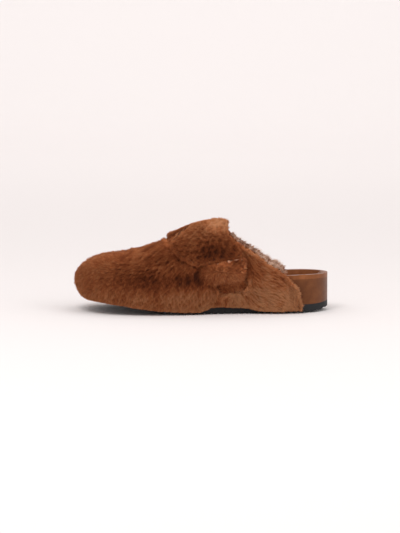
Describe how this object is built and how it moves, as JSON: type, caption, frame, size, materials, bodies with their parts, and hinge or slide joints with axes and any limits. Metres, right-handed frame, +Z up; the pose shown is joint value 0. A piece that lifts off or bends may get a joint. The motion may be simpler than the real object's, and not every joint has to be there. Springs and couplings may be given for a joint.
{
  "type": "shearling clog slipper",
  "caption": "Left shearling clog slipper: closed toe, open heel, fur instep strap with a buried buckle, cork footbed and black foam sole.",
  "frame": {"origin": "on the flat of the sole, under the instep, on the sole's middle line", "axes": "+X from toe to heel, -Y towards the outer (buckle) side, +Z up"},
  "size_m": [0.2681, 0.1135, 0.0959],
  "materials": {
    "outsole_foam": "matte",
    "jute": "matte",
    "cork": "matte",
    "suede": "matte",
    "shearling": "matte",
    "lining_wool": "matte",
    "strap_leather": "matte",
    "buckle_metal": "satin",
    "thread": "matte"
  },
  "bodies": {
    "root": {"outsole": "outsole_foam", "lower_jute": "jute", "cork_footbed": "cork", "upper_jute": "jute", "sock_lining": "suede", "footbed_wrap": "suede", "vamp": "shearling", "upper_lining": "lining_wool", "tongue": "shearling", "buckle_chape": "strap_leather", "chape_rivets": "buckle_metal", "rivet_burrs": "buckle_metal", "anchor_stitches": "thread"},
    "strap": {"instep_strap": "shearling", "strap_leather": "strap_leather"},
    "buckle_frame": {"buckle_frame": "buckle_metal"},
    "buckle_prong": {"buckle_prong": "buckle_metal"}
  },
  "joints": [
    {"name": "strap_open", "type": "hinge", "parent": "root", "child": "strap", "pos_m": [0.0185, 0.0375, 0.05], "axis": [-1, 0, 0], "range_deg": [0, 60], "deforming": ["instep_strap", "strap_leather"]},
    {"name": "frame_swing", "type": "hinge", "parent": "root", "child": "buckle_frame", "pos_m": [0.03079, -0.03938, 0.04125], "axis": [0.9678, 0.1448, 0.2057], "range_deg": [0, 80], "deforming": ["instep_strap", "strap_leather"]},
    {"name": "prong_swing", "type": "hinge", "parent": "buckle_frame", "child": "buckle_prong", "pos_m": [0.03079, -0.03938, 0.04125], "axis": [0.9678, 0.1448, 0.2057], "range_deg": [0, 45], "deforming": ["instep_strap", "strap_leather"]}
  ]
}
